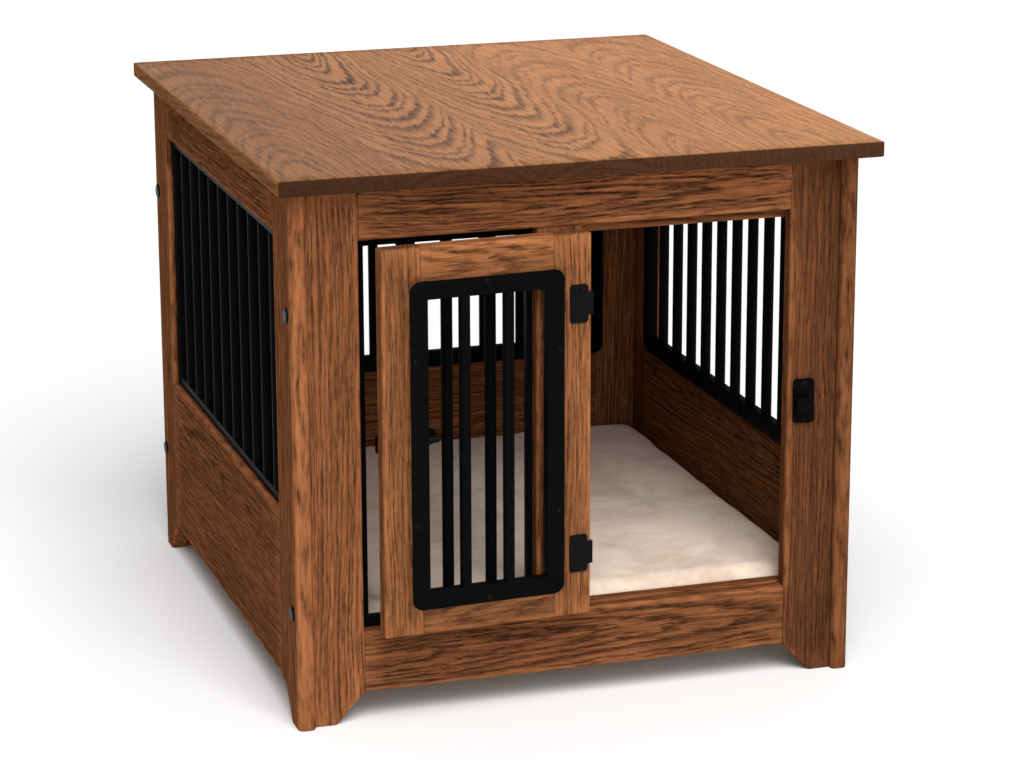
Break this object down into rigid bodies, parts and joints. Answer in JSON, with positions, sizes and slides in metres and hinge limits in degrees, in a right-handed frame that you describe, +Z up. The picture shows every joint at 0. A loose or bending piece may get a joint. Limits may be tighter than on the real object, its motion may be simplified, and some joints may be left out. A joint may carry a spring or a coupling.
{
  "type": "dog crate end table",
  "caption": "Wooden end table that is a dog crate: barred windows on all sides, a hinged barred door with a slide bolt, and a cushion on its floor.",
  "frame": {"origin": "on the floor, under the middle of the table", "axes": "+X to the right seen from the front, +Y from front to back, +Z up"},
  "size_m": [0.671, 0.7559, 0.61],
  "materials": {
    "top_oak": "stained oak with a satin varnish, worn lighter along the edges",
    "frame_oak": "stained oak with a satin varnish and dark open grain",
    "door_oak": "stained oak with a satin varnish, a little more orange than the frame",
    "plywood": "bare plywood",
    "black_metal": "satin black powder coat",
    "black_steel": "smooth black enamel",
    "plush": "short brushed plush"
  },
  "bodies": {
    "cabinet": {"back_bottom_rail": "frame_oak", "back_floor_cleat": "frame_oak", "back_grille": "black_metal", "back_left_stile": "frame_oak", "back_right_stile": "frame_oak", "back_top_rail": "frame_oak", "cushion": "plush", "door_sill_strip": "frame_oak", "door_stop_strip": "frame_oak", "floor_panel": "plywood", "front_bottom_rail": "frame_oak", "front_floor_cleat": "frame_oak", "front_grille": "black_metal", "front_left_stile": "frame_oak", "front_mullion": "frame_oak", "front_right_stile": "frame_oak", "front_top_rail": "frame_oak", "latch_keeper": "black_metal", "left_back_high_bolt": "black_steel", "left_back_low_bolt": "black_steel", "left_back_top_screw": "black_steel", "left_floor_cleat": "frame_oak", "left_front_high_bolt": "black_steel", "left_front_low_bolt": "black_steel", "left_front_top_screw": "black_steel", "left_side_back_stile": "frame_oak", "left_side_bottom_rail": "frame_oak", "left_side_front_stile": "frame_oak", "left_side_grille": "black_metal", "left_side_top_rail": "frame_oak", "left_top_cleat": "frame_oak", "lower_hinge_frame_leaf": "black_steel", "lower_hinge_pin": "black_steel", "right_back_high_bolt": "black_steel", "right_back_low_bolt": "black_steel", "right_back_top_screw": "black_steel", "right_floor_cleat": "frame_oak", "right_front_high_bolt": "black_steel", "right_front_low_bolt": "black_steel", "right_front_top_screw": "black_steel", "right_side_back_stile": "frame_oak", "right_side_bottom_rail": "frame_oak", "right_side_front_stile": "frame_oak", "right_side_grille": "black_metal", "right_side_top_rail": "frame_oak", "right_top_cleat": "frame_oak", "tabletop": "top_oak", "upper_hinge_frame_leaf": "black_steel", "upper_hinge_pin": "black_steel"},
    "door": {"door_bottom_rail": "door_oak", "door_grille": "black_metal", "door_hinge_stile": "door_oak", "door_latch_stile": "door_oak", "door_top_rail": "door_oak", "lower_hinge_door_leaf": "black_steel", "upper_hinge_door_leaf": "black_steel", "latch_case": "black_metal"},
    "bolt": {"latch_bolt": "black_steel", "latch_knob": "black_metal"}
  },
  "joints": [
    {"name": "door_hinge", "type": "hinge", "parent": "cabinet", "child": "door", "pos_m": [0.0045, -0.3415, 0.3], "axis": [0, 0, 1], "range_deg": [-1.5, 176.75]},
    {"name": "bolt_slide", "type": "slide", "parent": "door", "child": "bolt", "axis": [-0.9984, -0.0567, 0], "range_m": [0, 0.022]}
  ]
}
